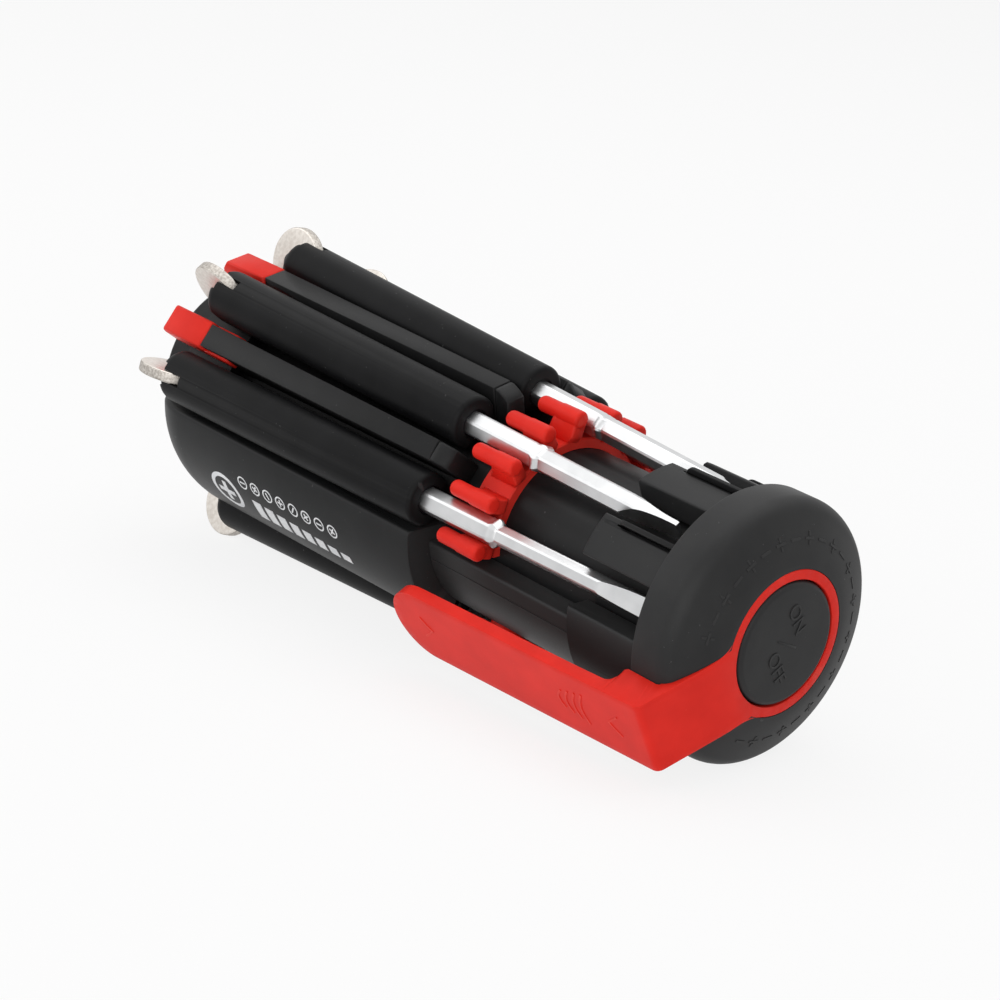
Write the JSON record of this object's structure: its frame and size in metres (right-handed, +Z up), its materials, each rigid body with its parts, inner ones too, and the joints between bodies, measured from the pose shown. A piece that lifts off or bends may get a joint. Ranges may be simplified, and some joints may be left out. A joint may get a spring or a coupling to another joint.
{
  "type": "pocket screwdriver",
  "caption": "Pocket tool with folding screwdriver arms round a torch body, sliding locks, a push-button tail cap and a pocket clip.",
  "frame": {"origin": "centre of the flat lamp face, on the long axis", "axes": "+X along the long axis from the lamp face to the button, +Z up as the tool lies on its two lowest arms"},
  "size_m": [0.1315, 0.0551, 0.0543],
  "materials": {
    "black_plastic": "semi-matt moulded",
    "panel_plastic": "smooth, with white print",
    "grip_plastic": "smooth moulded",
    "cap_plastic": "matt, soft to the touch",
    "red_plastic": "satin",
    "bright_steel": "plated and lightly brushed",
    "nickel_steel": "nickel plated, grainy edges",
    "clear_lens": "clear moulded",
    "mirror_plating": "vacuum plated",
    "led_body": "clear cast",
    "board": "solder mask",
    "cell_wrap": "plain wrap"
  },
  "bodies": {
    "core": {"core": "black_plastic", "ribs": "black_plastic", "guards": "black_plastic", "hinge_pins": "nickel_steel", "panel": "panel_plastic", "clip_ring": "red_plastic", "bezel": "black_plastic", "lens": "clear_lens", "reflector": "mirror_plating", "leds": "led_body", "led_board": "board", "lead_wires": "red_plastic", "front_contact": "nickel_steel", "battery_holder": "black_plastic", "batteries": "cell_wrap"},
    "arm_1": {"grip_1": "grip_plastic", "bit_1": "bright_steel", "tongue_1": "nickel_steel"},
    "arm_2": {"grip_2": "grip_plastic", "bit_2": "bright_steel", "tongue_2": "nickel_steel"},
    "arm_3": {"grip_3": "grip_plastic", "bit_3": "bright_steel", "tongue_3": "nickel_steel"},
    "arm_4": {"grip_4": "grip_plastic", "bit_4": "bright_steel", "tongue_4": "nickel_steel"},
    "arm_5": {"grip_5": "grip_plastic", "bit_5": "bright_steel", "tongue_5": "nickel_steel"},
    "arm_6": {"grip_6": "grip_plastic", "bit_6": "bright_steel", "tongue_6": "nickel_steel"},
    "arm_7": {"grip_7": "grip_plastic", "bit_7": "bright_steel", "tongue_7": "nickel_steel"},
    "arm_8": {"grip_8": "grip_plastic", "bit_8": "bright_steel", "tongue_8": "nickel_steel"},
    "lock_1": {"lock_slide_1": "red_plastic"},
    "lock_2": {"lock_slide_2": "red_plastic"},
    "lock_3": {"lock_slide_3": "red_plastic"},
    "lock_4": {"lock_slide_4": "red_plastic"},
    "lock_5": {"lock_slide_5": "red_plastic"},
    "lock_6": {"lock_slide_6": "red_plastic"},
    "lock_7": {"lock_slide_7": "red_plastic"},
    "cap": {"cap": "cap_plastic", "clip": "red_plastic", "switch_body": "black_plastic", "tail_contact": "nickel_steel"},
    "button": {"button": "cap_plastic", "return_spring": "nickel_steel"}
  },
  "joints": [
    {"name": "arm_1_fold", "type": "hinge", "parent": "core", "child": "arm_1", "pos_m": [0.0099, -0.02118, 0.00472], "axis": [0, -0.2175, -0.9761], "range_deg": [0, 177]},
    {"name": "arm_2_fold", "type": "hinge", "parent": "core", "child": "arm_2", "pos_m": [0.0099, -0.01243, 0.01779], "axis": [0, -0.8198, -0.5727], "range_deg": [0, 177]},
    {"name": "arm_3_fold", "type": "hinge", "parent": "core", "child": "arm_3", "pos_m": [0.0099, 0.00286, 0.02151], "axis": [0, -0.9913, 0.1316], "range_deg": [0, 177]},
    {"name": "arm_4_fold", "type": "hinge", "parent": "core", "child": "arm_4", "pos_m": [0.0099, 0.01664, 0.01393], "axis": [0, -0.642, 0.7667], "range_deg": [0, 177]},
    {"name": "arm_5_fold", "type": "hinge", "parent": "core", "child": "arm_5", "pos_m": [0.0099, 0.02167, 0.00106], "axis": [0, -0.0491, 0.9988], "range_deg": [0, 177]},
    {"name": "arm_6_fold", "type": "hinge", "parent": "core", "child": "arm_6", "pos_m": [0.0099, 0.01792, -0.01223], "axis": [0, 0.5637, 0.826], "range_deg": [0, 177]},
    {"name": "arm_7_fold", "type": "hinge", "parent": "core", "child": "arm_7", "pos_m": [0.0099, 0.00691, -0.02057], "axis": [0, 0.948, 0.3183], "range_deg": [0, 177]},
    {"name": "arm_8_fold", "type": "hinge", "parent": "core", "child": "arm_8", "pos_m": [0.0099, -0.00691, -0.02057], "axis": [0, 0.948, -0.3183], "range_deg": [0, 177]},
    {"name": "lock_1_slide", "type": "slide", "parent": "core", "child": "lock_1", "axis": [-1, 0, 0], "range_m": [0, 0.002]},
    {"name": "lock_2_slide", "type": "slide", "parent": "core", "child": "lock_2", "axis": [-1, 0, 0], "range_m": [0, 0.002]},
    {"name": "lock_3_slide", "type": "slide", "parent": "core", "child": "lock_3", "axis": [-1, 0, 0], "range_m": [0, 0.002]},
    {"name": "lock_4_slide", "type": "slide", "parent": "core", "child": "lock_4", "axis": [-1, 0, 0], "range_m": [0, 0.002]},
    {"name": "lock_5_slide", "type": "slide", "parent": "core", "child": "lock_5", "axis": [-1, 0, 0], "range_m": [0, 0.002]},
    {"name": "lock_6_slide", "type": "slide", "parent": "core", "child": "lock_6", "axis": [-1, 0, 0], "range_m": [0, 0.002]},
    {"name": "lock_7_slide", "type": "slide", "parent": "core", "child": "lock_7", "axis": [-1, 0, 0], "range_m": [0, 0.002]},
    {"name": "cap_pull", "type": "slide", "parent": "core", "child": "cap", "axis": [1, 0, 0], "range_m": [0, 0.06]},
    {"name": "button_press", "type": "slide", "parent": "cap", "child": "button", "axis": [-1, 0, 0], "range_m": [0, 0.0012], "stiffness_N_per_m": 1200, "springref_m": -0.001, "deforming": ["return_spring"]}
  ]
}
